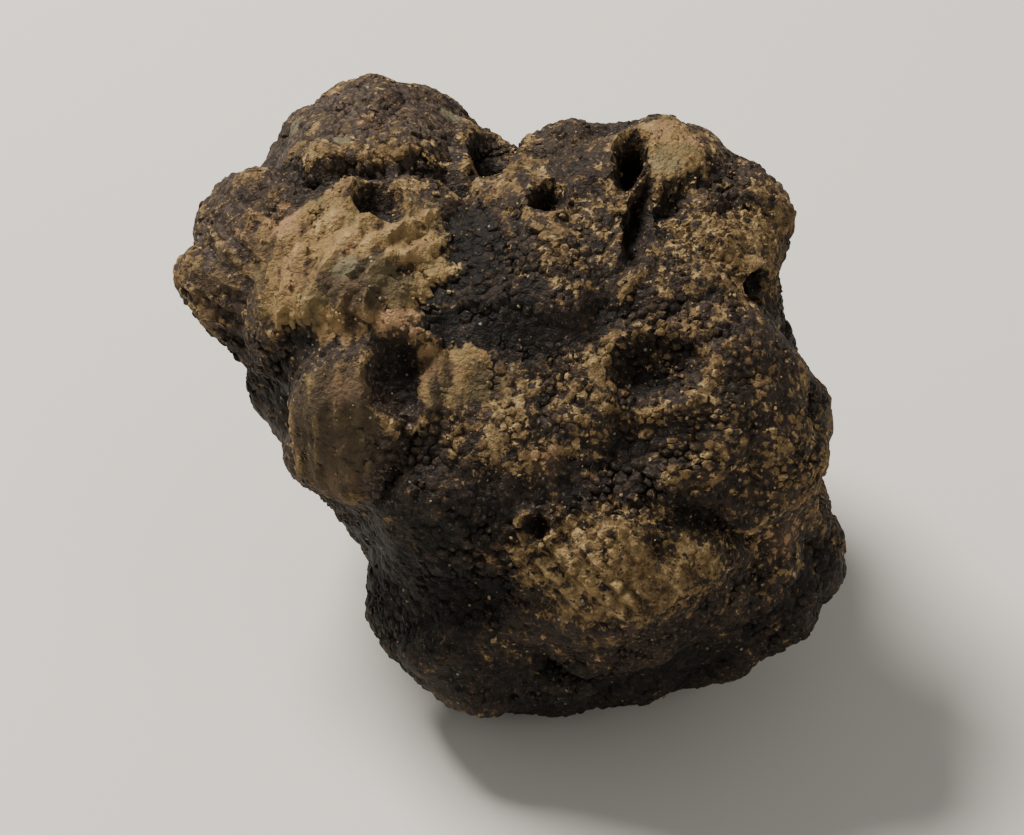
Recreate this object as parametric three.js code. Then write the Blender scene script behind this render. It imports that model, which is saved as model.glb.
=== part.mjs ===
// Black truffle: one fruit body, a knobbly tuber of lobes grown together, with furrows where they
// meet and a few pits, under a skin covered all over in low many-sided warts. It is solid inside.
//
// Millimetres, +Z up. It rests on a small flat spot at Z = 0, and the origin is there, under the
// middle of its width and depth. +X runs along its widest way, and -Y is the side with the chin.
//
// Every part of the skin faces away from one point, the heart, so the skin is worked out as a
// reach along each direction from there.
import * as THREE from 'three';
import { ConvexHull } from 'three/addons/math/ConvexHull.js';

const { abs, exp, floor, log, max, min, sin, sqrt, PI } = Math;

// ---- Driving dimensions, mm ----
const HEART = new THREE.Vector3(1, 1, 27);
const OUTER_REACH = 52;                        // further from the heart than any skin
const LOBE_BLEND = 2.2;                        // width over which two lobes run into each other
const FURROW = { depth: 1.1, width: 1.5 };     // groove along the line where two lobes meet
const SLOW_BEND = 0.8;                         // pushes the lobes out of true over 15 to 30 mm
const QUICK_BEND = 0.35;                       // and over about 9 mm
const KNOB = { count: 170, width: 8.5, rise: 1.5 };
const WART = { count: 1700, rise: 0.75, sink: 0.35 };
const PIT_RIM = { rise: 0.35, at: 1.5, width: 0.35 };    // lip, placed in half sizes of its pit
const SMOOTH_CLAY = { at: new THREE.Vector3(-15.5, 0, 51), reach: 11, wartShare: 0.4 };
const SETTLING_ROUNDS = 4;                     // times that the warts shift to even out their spacing

// The lobes as egg shapes: centre, and half sizes along X, Y and Z.
const LOBES = Object.values({
  core: { at: [1, 2, 27], half: [20, 21, 19] },
  belly: { at: [3, 3, 14], half: [16.5, 18, 15] },
  crownDome: { at: [-12.9, 17.5, 41.2], half: [12.6, 11.4, 11] },
  crownRight: { at: [5.6, 12, 45.2], half: [7.4, 7.8, 7.6] },
  saddle: { at: [12.8, 10, 47.2], half: [8, 7.4, 6.6] },
  clayShoulder: { at: [-13, 3.2, 40], half: [12.6, 11.4, 11] },
  leftEnd: { at: [-23.6, 8.8, 40.6], half: [8, 9, 7.8] },
  brow: { at: [4, 2.6, 41], half: [10.6, 11.2, 11] },
  rightKnob: { at: [20.3, 5, 45.8], half: [6.8, 6.8, 5.5] },
  rightBrow: { at: [15.5, -1, 39.5], half: [8, 8.6, 9] },
  nose: { at: [-2.5, -8, 36.6], half: [9, 7, 6.6] },
  rightCheek: { at: [18.8, -5, 34], half: [10.6, 12.6, 11.6] },
  leftJowl: { at: [-15.6, -6.2, 33.6], half: [5.6, 7.4, 9.8] },
  leftFlank: { at: [-17, 2.5, 33.5], half: [7, 8, 9] },
  chin: { at: [10, -14.4, 23], half: [12.4, 10.6, 10] },
  rightHip: { at: [22, -6.6, 18], half: [9.8, 10.6, 10.6] },
  frontFoot: { at: [-0.6, -10.6, 15], half: [13.4, 11, 12.4] },
  rightFoot: { at: [13, -7.4, 12.5], half: [12, 11.4, 10.8] },
  backLeft: { at: [-12.5, 16.5, 27], half: [13, 14.5, 14] },
  backRight: { at: [11, 17.5, 28], half: [12.6, 14, 13] },
  backLow: { at: [2, 15.5, 14], half: [14, 13, 12] },
});

// Pits and clefts: the middle of the mouth, the half sizes of the hole along X, Y and Z, and how far in it goes.
const PITS = [
  { at: [3.2, 4.5, 52.1], half: [1.3, 1.8, 1.8], depth: 3.2 },
  { at: [11.4, 7.8, 54.6], half: [1.1, 2.6, 2], depth: 5 },
  { at: [-13.1, 4.8, 51.3], half: [1.4, 2.2, 1.8], depth: 3 },
  { at: [22.6, -2.2, 46.2], half: [1.2, 1.2, 1.2], depth: 2 },
  { at: [2.2, -19.7, 31.7], half: [1.1, 1, 1], depth: 1.6 },
  { at: [12.9, -10.7, 43.4], half: [3.2, 2.6, 2.6], depth: 1.6 },
  { at: [11.6, 1.2, 50.9], half: [0.9, 4.2, 3], depth: 1.8 },
  { at: [-1.5, 14, 48.5], half: [2.2, 5, 4], depth: 2.4 },
  { at: [-10.8, -10.3, 42.3], half: [1.8, 3, 4], depth: 1.8 },
  { at: [-4, 32, 36], half: [1.5, 1.5, 1.5], depth: 3 },
  { at: [22, 24, 20], half: [1.3, 1.3, 1.3], depth: 2.2 },
  { at: [-28, 14, 26], half: [1.4, 1.4, 1.4], depth: 2.5 },
].map(({ at, half, depth }) => ({
  axis: new THREE.Vector3(...at).sub(HEART).normalize(),
  half: new THREE.Vector3(...half),
  depth,
}));

// ---- Even scatter and steady chance ----

// A number from 0 to 1 that looks drawn by chance, always the same for the same seed.
function chance(seed) {
  const wild = sin(seed * 12.9898 + 4.1) * 43758.5453;
  return wild - floor(wild);
}

// Directions spread evenly over the sphere, one after another down a golden-angle spiral.
function spiralDirections(count) {
  const goldenAngle = PI * (3 - sqrt(5));
  return Array.from({ length: count }, (_, i) => {
    const z = 1 - (2 * i + 1) / count;
    const across = sqrt(1 - z * z);
    const turn = i * goldenAngle;
    return new THREE.Vector3(across * Math.cos(turn), across * sin(turn), z);
  });
}

// The point at so much reach from the heart.
function pointAt(direction, reach) {
  return direction.clone().multiplyScalar(reach).add(HEART);
}

// ---- The lobes ----

// Shifts a point by slow waves and quick ones, so that no lobe is a true egg shape.
function bend(x, y, z) {
  const pair = (first, second) => sin(first) + 0.6 * sin(second);
  const slow = [
    pair(0.21 * y + 0.9, 0.37 * z - 0.11 * x + 2.1),
    pair(0.23 * z + 0.3, 0.35 * x + 0.13 * y + 0.7),
    pair(0.19 * x + 1.7, 0.39 * y - 0.12 * z + 0.2),
  ];
  const quick = [
    sin(0.71 * y + 0.23 * z + 0.5),
    sin(0.67 * z - 0.31 * x + 1.1),
    sin(0.74 * x + 0.27 * y + 2.6),
  ];
  return [x, y, z].map((value, i) => value + SLOW_BEND * slow[i] + QUICK_BEND * quick[i]);
}

// How far a point is outside one egg shape, near enough; negative inside.
function eggGap([x, y, z], { at, half }) {
  const u = (x - at[0]) / half[0];
  const v = (y - at[1]) / half[1];
  const w = (z - at[2]) / half[2];
  const scaled = sqrt(u * u + v * v + w * w);
  const slope = sqrt((u / half[0]) ** 2 + (v / half[1]) ** 2 + (w / half[2]) ** 2);
  return (scaled * (scaled - 1)) / max(slope, 1e-9);
}

// How far a point is outside the joined lobes: a soft minimum over them, with a furrow where the
// two nearest are about as near as each other.
function lobeGap(x, y, z) {
  const bent = bend(x, y, z);
  let nearest = Infinity;
  let second = Infinity;
  const gaps = LOBES.map((lobe) => eggGap(bent, lobe));
  for (const gap of gaps) {
    second = min(second, max(gap, nearest));
    nearest = min(nearest, gap);
  }
  const crowd = gaps.reduce((sum, gap) => sum + exp((nearest - gap) / LOBE_BLEND), 0);
  const depth = FURROW.depth * (0.55 + 0.45 * sin(0.17 * bent[0] + 0.21 * bent[1] - 0.19 * bent[2] + 1));
  const furrow = depth * exp(-(((second - nearest) / FURROW.width) ** 2));
  return nearest - LOBE_BLEND * log(crowd) + furrow;
}

// Reach from the heart to the joined lobes, found by stepping in from outside.
function lobeReach(direction) {
  let reach = OUTER_REACH;
  for (let step = 0; step < 60; step += 1) {
    const gap = lobeGap(...pointAt(direction, reach));
    reach -= 0.8 * gap;
    if (abs(gap) < 0.002) break;
  }
  return reach;
}

// ---- Knobs, pits and warts ----

const knobs = spiralDirections(KNOB.count).map((direction, i) => {
  const strayed = direction.clone();
  strayed.x += 0.12 * (chance(3 * i) - 0.5);
  strayed.y += 0.12 * (chance(3 * i + 1) - 0.5);
  strayed.z += 0.12 * (chance(3 * i + 2) - 0.5);
  strayed.normalize();
  return {
    at: pointAt(strayed, lobeReach(strayed)),
    rise: KNOB.rise * (0.35 + 0.65 * chance(i + 700)),
    width: KNOB.width * (0.8 + 0.4 * chance(i + 900)),
  };
});

// Height of the knobs at a point of the lobes: the highest of the domes that stand there.
function knobRise(point) {
  const domes = knobs.map(({ at, rise, width }) => rise * (1 - at.distanceToSquared(point) / width ** 2));
  return max(...domes) - 0.55 * KNOB.rise;
}

// Depth of the pits at a point of the lobes, less the lip that stands round each.
function pitDepth(point) {
  return PITS.reduce((sum, { axis, half, depth }) => {
    const off = point.clone().sub(HEART);
    const ahead = off.dot(axis);
    if (ahead < 0) return sum;
    const away = off.addScaledVector(axis, -ahead).divide(half).length();
    const lip = PIT_RIM.rise * exp(-(((away - PIT_RIM.at) / PIT_RIM.width) ** 2));
    return sum + depth * exp(-(away ** 4)) - lip;
  }, 0);
}

// How much of a wart's full height is left: the clay shoulder is rubbed nearly smooth.
function wartShare(point) {
  const away = point.distanceTo(SMOOTH_CLAY.at) / SMOOTH_CLAY.reach;
  return 1 - (1 - SMOOTH_CLAY.wartShare) * exp(-(away ** 4));
}

// A point of the skin, raised by so much of a wart, and never below the ground it rests on.
function skinPoint(direction, lift) {
  const lobes = lobeReach(direction);
  const onLobes = pointAt(direction, lobes);
  const skin = lobes + knobRise(onLobes) - pitDepth(onLobes) + lift * wartShare(onLobes);
  const ground = direction.z < 0 ? -HEART.z / direction.z : Infinity;
  const point = pointAt(direction, min(skin, ground));
  return point.setZ(max(0, point.z));
}

// Skin for each unit of solid angle, which is more where it is further out or lies aslant.
function skinShare(direction) {
  const reach = lobeReach(direction);
  const { x, y, z } = pointAt(direction, reach);
  const step = 0.2;
  const slope = new THREE.Vector3(
    lobeGap(x + step, y, z) - lobeGap(x - step, y, z),
    lobeGap(x, y + step, z) - lobeGap(x, y - step, z),
    lobeGap(x, y, z + step) - lobeGap(x, y, z - step),
  ).normalize();
  return reach ** 2 / max(slope.dot(direction), 0.25);
}

// ---- The net of warts ----

// Corner numbers of the triangles between neighbouring directions.
function neighbourTriangles(directions) {
  const numbers = new Map(directions.map((direction, i) => [direction, i]));
  return new ConvexHull().setFromPoints(directions).faces.map((face) => {
    const corners = [face.getEdge(0), face.getEdge(1), face.getEdge(2)];
    return corners.map((edge) => numbers.get(edge.head().point));
  });
}

// Places for the warts: down a close spiral, one each time that another share of skin has gone by.
function firstWarts() {
  const tries = spiralDirections(6 * WART.count);
  const shares = tries.map(skinShare);
  const each = shares.reduce((sum, share) => sum + share, 0) / WART.count;
  let passed = 0;
  return tries.filter((_, i) => {
    passed += shares[i];
    const keep = passed >= each;
    if (keep) passed -= each;
    return keep;
  });
}

// Each wart moves to the middle of its neighbours, while the pits, which come first, stay put.
function settle(directions) {
  const middles = directions.map(() => new THREE.Vector3());
  const places = directions.map((direction) => pointAt(direction, lobeReach(direction)).sub(HEART));
  for (const corners of neighbourTriangles(directions)) {
    corners.forEach((corner, side) => middles[corner].add(places[corners[(side + 1) % 3]]));
  }
  return middles.map((middle, i) => (i < PITS.length ? directions[i] : middle.normalize()));
}

// The skin: each wart is a fan of triangles from its tip down to the net of valleys round it.
function skinGeometry(directions) {
  const triangles = neighbourTriangles(directions);
  const tips = directions.map((direction, i) => skinPoint(direction, WART.rise * (0.45 + 0.55 * chance(i))));
  const valleys = triangles.map((corners) => {
    const middle = new THREE.Vector3();
    corners.forEach((corner) => middle.add(directions[corner]));
    return skinPoint(middle.normalize(), -WART.sink);
  });
  const leftOfSide = new Map();
  triangles.forEach((corners, t) => {
    corners.forEach((corner, side) => leftOfSide.set(`${corner} ${corners[(side + 1) % 3]}`, t));
  });
  const index = [];
  for (const [side, left] of leftOfSide) {
    const [from, to] = side.split(' ');
    const right = leftOfSide.get(`${to} ${from}`);
    index.push(Number(from), tips.length + right, tips.length + left);
  }
  const geometry = new THREE.BufferGeometry().setFromPoints([...tips, ...valleys]);
  geometry.setIndex(index);
  geometry.computeVertexNormals();
  return geometry;
}

// Moves a shape along the ground until the middle of its width and depth is over the origin.
function centreOverOrigin(geometry) {
  geometry.computeBoundingBox();
  const middle = geometry.boundingBox.getCenter(new THREE.Vector3());
  return geometry.translate(-middle.x, -middle.y, 0);
}

let warts = [...PITS.map(({ axis }) => axis.clone()), ...firstWarts()];
for (let round = 0; round < SETTLING_ROUNDS; round += 1) warts = settle(warts);

const truffle = new THREE.Mesh(
  centreOverOrigin(skinGeometry(warts)),
  new THREE.MeshStandardMaterial({ color: '#2b221c', roughness: 0.9, metalness: 0, flatShading: true }),
);
truffle.name = 'truffle';

const part = new THREE.Group();
part.add(truffle);
export default part;
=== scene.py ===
"""Looks of a black truffle: its finely warted skin, the dry earth on it, and loose crumbs of earth.

Shapes are worked out in millimetres in the truffle's own space, and put into meshes in metres.
"""

import math

import bmesh
import bpy
import numpy as np
from mathutils import Matrix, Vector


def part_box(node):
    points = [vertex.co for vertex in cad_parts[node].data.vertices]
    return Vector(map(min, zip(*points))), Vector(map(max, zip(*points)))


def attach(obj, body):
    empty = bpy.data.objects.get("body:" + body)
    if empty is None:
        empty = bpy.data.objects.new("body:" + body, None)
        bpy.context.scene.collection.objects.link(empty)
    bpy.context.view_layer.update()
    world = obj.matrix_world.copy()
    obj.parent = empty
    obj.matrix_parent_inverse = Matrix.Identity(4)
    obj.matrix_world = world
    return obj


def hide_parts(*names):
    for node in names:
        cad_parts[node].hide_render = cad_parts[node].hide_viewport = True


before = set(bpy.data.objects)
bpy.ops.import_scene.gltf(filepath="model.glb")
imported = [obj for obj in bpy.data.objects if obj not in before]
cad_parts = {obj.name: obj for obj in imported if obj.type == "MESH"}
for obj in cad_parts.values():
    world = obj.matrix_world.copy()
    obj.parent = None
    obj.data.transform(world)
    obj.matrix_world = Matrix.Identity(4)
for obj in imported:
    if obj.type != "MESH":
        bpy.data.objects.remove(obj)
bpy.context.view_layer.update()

MM = 0.001
ROOM = 0.01                     # mm less than the solid's box that the skin measures along each side
SHARP_FROM = math.radians(38)

# ---- The form that the fine skin shares with the solid, mm ----
HEART = np.array([1.0, 1.0, 27.0])
OUTER_REACH = 52.0
LOBE_BLEND = 2.2
FURROW_DEPTH = 1.1
FURROW_WIDTH = 1.5
SLOW_BEND = 0.8
QUICK_BEND = 0.35
KNOB_COUNT = 170
KNOB_WIDTH = 8.5
KNOB_RISE = 1.5
KNOB_STRAY = 0.12               # shift of each knob, as a share of its reach
KNOB_SUNK = 0.55                # share of the rise by which all knobs are sunk in the lobes
RIM_RISE = 0.35
RIM_AT = 1.5
RIM_WIDTH = 0.35
WIDE_PIT = 2.4                  # a hollow this wide or wider is covered in warts like the rest
REACH_STEPS = 30
REACH_PACE = 0.85               # share of the gap that each step in towards the skin covers
SLOPE_STEP = 0.1
LEAST_SLOPE = 0.3               # its square, so that a move in a tight furrow stays short
LONGEST_MOVE = 1.5

# Lobes as egg shapes: centre, and half sizes along X, Y and Z.
LOBES = {
    "core": ((1, 2, 27), (20, 21, 19)),
    "belly": ((3, 3, 14), (16.5, 18, 15)),
    "crown dome": ((-12.9, 17.5, 41.2), (12.6, 11.4, 11)),
    "crown right": ((5.6, 12, 45.2), (7.4, 7.8, 7.6)),
    "saddle": ((12.8, 10, 47.2), (8, 7.4, 6.6)),
    "clay shoulder": ((-13, 3.2, 40), (12.6, 11.4, 11)),
    "left end": ((-23.6, 8.8, 40.6), (8, 9, 7.8)),
    "brow": ((4, 2.6, 41), (10.6, 11.2, 11)),
    "right knob": ((20.3, 5, 45.8), (6.8, 6.8, 5.5)),
    "right brow": ((15.5, -1, 39.5), (8, 8.6, 9)),
    "nose": ((-2.5, -8, 36.6), (9, 7, 6.6)),
    "right cheek": ((18.8, -5, 34), (10.6, 12.6, 11.6)),
    "left jowl": ((-15.6, -6.2, 33.6), (5.6, 7.4, 9.8)),
    "left flank": ((-17, 2.5, 33.5), (7, 8, 9)),
    "chin": ((10, -14.4, 23), (12.4, 10.6, 10)),
    "right hip": ((22, -6.6, 18), (9.8, 10.6, 10.6)),
    "front foot": ((-0.6, -10.6, 15), (13.4, 11, 12.4)),
    "right foot": ((13, -7.4, 12.5), (12, 11.4, 10.8)),
    "back left": ((-12.5, 16.5, 27), (13, 14.5, 14)),
    "back right": ((11, 17.5, 28), (12.6, 14, 13)),
    "back low": ((2, 15.5, 14), (14, 13, 12)),
}

# Pits and clefts: the middle of the mouth, the half sizes of the hole along X, Y and Z, and how
# deep it is.
PITS = [
    ((3.2, 4.5, 52.1), (1.3, 1.8, 1.8), 3.2),
    ((11.4, 7.8, 54.6), (1.1, 2.6, 2), 5),
    ((-13.1, 4.8, 51.3), (1.4, 2.2, 1.8), 3),
    ((22.6, -2.2, 46.2), (1.2, 1.2, 1.2), 2),
    ((2.2, -19.7, 31.7), (1.1, 1, 1), 1.6),
    ((12.9, -10.7, 43.4), (3.2, 2.6, 2.6), 1.6),
    ((11.6, 1.2, 50.9), (0.9, 4.2, 3), 1.8),
    ((-1.5, 14, 48.5), (2.2, 5, 4), 2.4),
    ((-10.8, -10.3, 42.3), (1.8, 3, 4), 1.8),
    ((-4, 32, 36), (1.5, 1.5, 1.5), 3),
    ((22, 24, 20), (1.3, 1.3, 1.3), 2.2),
    ((-28, 14, 26), (1.4, 1.4, 1.4), 2.5),
]

# ---- The fine relief, mm ----
WART_COUNT = 10400
WART_RISE = 0.24
WART_SINK = 0.09
WART_STRAY = 0.24               # how far a wart may stand from the middle of its neighbours
LUMP_COUNT = 760
LUMP_WIDTH = 3.2
LUMP_RISE = 0.7
LUMP_STRAY = 0.1
LUMP_SHIFT = 0.32               # share of the rise that makes the lumps' mean height about 0
CRACK_DEPTH = 0.4
CRACK_WIDTH = 0.45
CORNER_STRAY = 0.055            # chance shift of every corner
NET_ROUNDS = 3                  # times that the warts shift and find new neighbours
SETTLING_ROUNDS = 10            # times that they then shift over the skin
HOLLOW_ROUNDS = 14              # times that the skin is smoothed to tell hollows from humps
CRUMB_COUNT = 2600
CRUMB_SIZE = 0.09               # usual half size
CRUMB_ROOM = 0.4                # least distance from the sides of the solid's box

# The seam along the front foot of the crown dome: where it can be seen, and its measures.
SEAM_REGION = ((-7, 11, 51), (17, 8, 9))
SEAM_DEPTH = 1.2
SEAM_LEAD = -0.7                # how much nearer the dome is there than any other lobe
SEAM_WIDTH = 0.9
SEAM_LIPS_AT = 2.2

# Slow waves, each a size, steps along X, Y and Z, and a start: the sway of the seam and of the
# folds, where cracks run and where warts are worn low.
SEAM_SWAY = ((0.4, (0.9, 0.3, 0.2), 0), (0.25, (2.1, -0.4, 0.7), 0))
FOLD_SWAY = ((0.9, (0.19, 0.23, 0.16), 0), (0.5, (0.5, -0.3, 0.44), 0))
CRACK_RUN = ((1, (0.31, 0.27, 0.22), 1.3), (1, (-0.2, 0.36, 0.29), 0))
WEAR = ((1, (0.31, -0.22, 0.17), 0.4), (1, (-0.12, 0.36, 0.25), 2.1), (1, (0.27, 0.2, -0.41), 4.2))

# Folds pressed into clay: middle and half sizes of the patch, the direction across the folds,
# how far apart they are and how high.
FOLDS = {
    "clay shoulder": ((-16.5, -0.5, 49), (12, 8, 7), (-0.75, 0.65, 0.05), 2.9, 0.8),
    "left jowl": ((-18, -10, 36.5), (6, 7, 9), (0.94, -0.34, 0.05), 3.1, 0.45),
    "nose": ((-2.5, -11, 42), (8, 5, 5), (0.9, 0.3, -0.3), 4.1, 0.5),
    "left end": ((-28, 3, 43), (6, 7, 7), (0.4, 0.25, 0.88), 2.0, 0.4),
    "chin": ((9, -23, 29.5), (11, 6, 5.5), (0.72, 0.1, 0.68), 2.2, 0.5),
    "back left": ((-16, 31, 32), (8, 6, 8), (0.6, 0.1, 0.8), 2.6, 0.5),
}
FLAT_CREST = 0.36               # taken as the folds' crest where there are none
FINER_FOLDS = 2.3               # finer folds for each wide one

# ---- Where things lie on the skin: middle and half sizes along X, Y and Z, and how thickly ----
# Specks of dry earth; the last number goes from -1, between the warts, to 1, on their tops.
EARTH = {
    "clay shoulder": ((-17, -0.5, 48.5), (12, 8.5, 7.5), 1.0, 0),
    "left end": ((-28.5, 2.5, 42.5), (5, 7, 6), 0.35, 0.5),
    "left jowl": ((-18, -11, 36.5), (5, 6, 9), 0.35, 0.5),
    "nose": ((-2.5, -12, 41.5), (8.5, 4.5, 4.6), 0.75, 0),
    "beside the nose": ((6, -12.5, 41.5), (4.5, 4, 4), 0.55, 1),
    "row under the nose": ((0.5, -15.5, 38), (9, 3.5, 2.2), 0.6, 1),
    "chin": ((9.5, -22.5, 29.5), (11, 6.5, 5.5), 0.95, -1),
    "chin left": ((2, -23.5, 27.8), (4.5, 5, 4.5), 0.85, -0.7),
    "right knob": ((21, 1, 48.5), (7.5, 7.5, 6), 0.85, -1),
    "right brow": ((17.5, -5, 47.5), (5, 4, 5), 0.45, -0.5),
    "right cheek": ((23, -13, 37), (8, 9, 8), 0.36, 1),
    "right hip": ((27, -14, 27), (6, 8, 8), 0.42, 1),
    "body": ((12, -12, 40), (13, 9, 9), 0.26, 1),
    "brow": ((5, -2, 50), (8, 6, 4), 0.14, 0.5),
    "saddle": ((15.5, 9, 54.5), (5.5, 5, 4), 0.8, 0),
    "crater lip": ((5, 3.5, 52.3), (5, 4, 4), 0.55, -0.5),
    "fissure lip": ((-4, 9.5, 51.6), (9.5, 1.4, 2), 0.75, 0),
    "crown dome": ((-14, 17, 52), (13, 12, 7), 0.08, 0.5),
    "front foot": ((-1, -21, 17), (3, 5, 3), 0.5, 1),
    "back left": ((-16, 31, 32), (8, 7, 8), 0.9, 0),
    "back right": ((20, 29, 27), (8, 8, 9), 0.7, -1),
    "back top": ((9, 24, 42), (7, 7, 6), 0.45, 1),
    "right side": ((32, 2, 24), (7, 9, 8), 0.5, -0.6),
    "left side": ((-22, 8, 18), (8, 9, 7), 0.5, 1),
}

# Smooth clay, which fills the valleys between the warts.
CLAY = {
    "clay shoulder": ((-16.6, -0.8, 48.6), (12.6, 8.8, 8), 1.15),
    "saddle": ((15.2, 9, 54.8), (4.2, 4, 3.5), 0.85),
    "nose": ((-6, -11, 42.8), (7.3, 4.7, 3.5), 1.0),
    "left jowl": ((-17.4, -11.5, 35.5), (6, 6.5, 9), 1.0),
    "left end": ((-27.5, 2.5, 43), (4.5, 6, 6), 0.6),
    "right knob": ((22.5, -1.5, 47), (4, 4.5, 3.5), 0.65),
    "chin": ((5.5, -23, 29), (8, 4.5, 4.5), 0.5),
    "back left": ((-16, 31, 32), (6, 6, 6), 0.8),
}

# Near-black skin that holds little earth. It is mostly painted shade: darker towards the bottom all
# round, and in the recesses beside the clay, under the brow and under the nose.
BARE_AND_SHADED = {
    "front left": ((-10, -16, 19), (10, 9, 11), 1.0),
    "front low": ((8, -18, 9), (16, 9, 7), 0.9),
    "beside the clay": ((-4.5, -1, 49.5), (3.5, 7, 4), 0.7),
    "under the brow": ((0, -6, 46), (9, 4, 4), 0.7),
    "under the nose": ((-6, -16, 31), (9, 5, 4), 0.9),
    "hip": ((28, -12, 16), (7, 9, 6), 0.8),
    "left low": ((-17, 8, 12), (8, 12, 8), 0.7),
    "right low": ((24, 16, 14), (8, 8, 9), 0.6),
    "back low": ((0, 29, 12), (14, 8, 9), 0.8),
}

# Brown skin or clay, reddish stains, and grey-green stains, with one grey-green patch at the low front
# that is painted glints on the warts.
GREY = {
    "crown dome": ((-13, 17, 48), (14, 13, 10), 0.7),
    "left jowl": ((-16, -11.5, 35.5), (6.3, 7, 10), 1.0),
    "left end": ((-28, 2.5, 43), (6, 7, 7), 0.8),
    "nose": ((-3, -12, 41), (9, 5, 5), 0.5),
    "clay middle": ((-14.2, -4.3, 49), (5.5, 3, 3), 0.9),
    "back top": ((5, 26, 42), (12, 9, 9), 0.7),
}
REDDISH = {
    "under the clay": ((-10.8, -7.2, 46.5), (2.3, 1.8, 1.6), 1.0),
    "clay left": ((-21.8, 4.8, 48.8), (2.6, 2.6, 1.8), 0.8),
    "crown": ((-14.2, 15.6, 52.5), (1.3, 1.3, 1.2), 0.8),
    "saddle": ((17.4, 10.6, 54.1), (1.2, 1.2, 1), 0.8),
    "under the nose": ((3.1, -16.4, 36.9), (1.6, 1.6, 1.8), 0.9),
    "hip": ((26.3, -14.8, 25.8), (2.5, 3, 3), 0.9),
    "left end": ((-26, 5, 47), (2.5, 2.5, 2), 0.5),
    "back": ((8, 31, 30), (2.5, 2, 2.5), 0.8),
}
GREEN_STAINS_AND_GLINTS = {
    "clay shoulder": ((-16.2, -2.8, 50), (2.2, 1.8, 1.5), 0.8),
    "crown left": ((-21.8, 19.7, 48.9), (1.3, 1.3, 1.3), 1.0),
    "crown front": ((-16.7, 12.7, 52.4), (1.1, 1.1, 1), 1.0),
    "crown right": ((-6.1, 21, 49.7), (1.8, 1.5, 1.8), 0.8),
    "saddle": ((14.5, 7, 55), (3, 2.5, 2.5), 0.6),
    # Painted glints on the warts of the dark low front.
    "front low": ((-9, -17.5, 16.5), (7, 7, 9), 0.36),
    "back": ((-20, 27, 38), (2, 2, 2), 0.8),
}


# ---- The form ----


def chance(seed):
    """A number from 0 to 1 that looks drawn by chance: what a steep sine leaves past its whole part."""
    wild = np.sin(seed * 12.9898 + 4.1) * 43758.5453
    return wild - np.floor(wild)


def unit(vectors):
    """Each row over its own length."""
    return vectors / np.maximum(np.linalg.norm(vectors, axis=-1, keepdims=True), 1e-12)


def spiral_directions(count):
    """Directions spread evenly over the sphere, in even steps of height that each turn by the golden
    angle."""
    i = np.arange(count)
    z = 1 - (2 * i + 1) / count
    turn = i * math.pi * (3 - math.sqrt(5))
    across = np.sqrt(1 - z * z)
    return np.stack([across * np.cos(turn), across * np.sin(turn), z], -1)


def bend(points):
    """Points shifted by slow waves and quick ones, so that no lobe is a true egg shape."""
    x, y, z = points.T
    slow = [
        np.sin(0.21 * y + 0.9) + 0.6 * np.sin(0.37 * z - 0.11 * x + 2.1),
        np.sin(0.23 * z + 0.3) + 0.6 * np.sin(0.35 * x + 0.13 * y + 0.7),
        np.sin(0.19 * x + 1.7) + 0.6 * np.sin(0.39 * y - 0.12 * z + 0.2),
    ]
    quick = [
        np.sin(0.71 * y + 0.23 * z + 0.5),
        np.sin(0.67 * z - 0.31 * x + 1.1),
        np.sin(0.74 * x + 0.27 * y + 2.6),
    ]
    return points + SLOW_BEND * np.stack(slow, -1) + QUICK_BEND * np.stack(quick, -1)


def egg_gap(points, centre, half):
    """How far points are outside an egg shape: k (k - 1) / s, where k is the distance from the
    middle in half sizes and s how fast that grows."""
    scaled = (points - np.array(centre, float)) / np.array(half, float)
    k = np.linalg.norm(scaled, axis=-1)
    slope = np.linalg.norm(scaled / np.array(half, float), axis=-1)
    return k * (k - 1) / np.maximum(slope, 1e-9)


def lobe_gap(points):
    """How far points are outside the joined lobes: nearest - b log(sum exp((nearest - gap) / b)),
    plus a bell-shaped furrow where the two nearest lobes are about as near as each other."""
    bent = bend(points)
    gaps = np.stack([egg_gap(bent, centre, half) for centre, half in LOBES.values()])
    nearest, second = np.partition(gaps, 1, axis=0)[:2]
    crowd = np.exp((nearest - gaps) / LOBE_BLEND).sum(0)
    wave = np.sin(0.17 * bent[:, 0] + 0.21 * bent[:, 1] - 0.19 * bent[:, 2] + 1)
    furrow = FURROW_DEPTH * (0.55 + 0.45 * wave) * np.exp(-(((second - nearest) / FURROW_WIDTH) ** 2))
    return nearest - LOBE_BLEND * np.log(crowd) + furrow


def points_at(directions, reach):
    """Heart + direction * reach."""
    return HEART + directions * reach[:, None]


def lobe_reach(directions):
    """Reach from the heart to the joined lobes, found by stepping in from outside."""
    reach = np.full(len(directions), OUTER_REACH)
    for _ in range(REACH_STEPS):
        reach -= REACH_PACE * lobe_gap(points_at(directions, reach))
    return reach


def lobe_slope(points):
    """How fast the gap to the joined lobes grows along X, Y and Z."""
    steps = SLOPE_STEP * np.eye(3)
    risen = [lobe_gap(points + step) - lobe_gap(points - step) for step in steps]
    return np.stack(risen, -1) / (2 * SLOPE_STEP)


def onto_lobes(points):
    """Points moved by one Newton step to the joined lobes: along the slope, by gap / slope^2."""
    slope = lobe_slope(points)
    pace = lobe_gap(points) / np.maximum((slope**2).sum(1), LEAST_SLOPE)
    return points - slope * np.clip(pace, -LONGEST_MOVE, LONGEST_MOVE)[:, None]


def nearest_two(points, sites):
    """Distance from each point to its nearest site and to the second nearest."""
    squared = (points**2).sum(1)[:, None] + (sites**2).sum(1)[None] - 2 * points @ sites.T
    return np.sqrt(np.maximum(np.partition(squared, 1, axis=1)[:, :2], 0)).T


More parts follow.
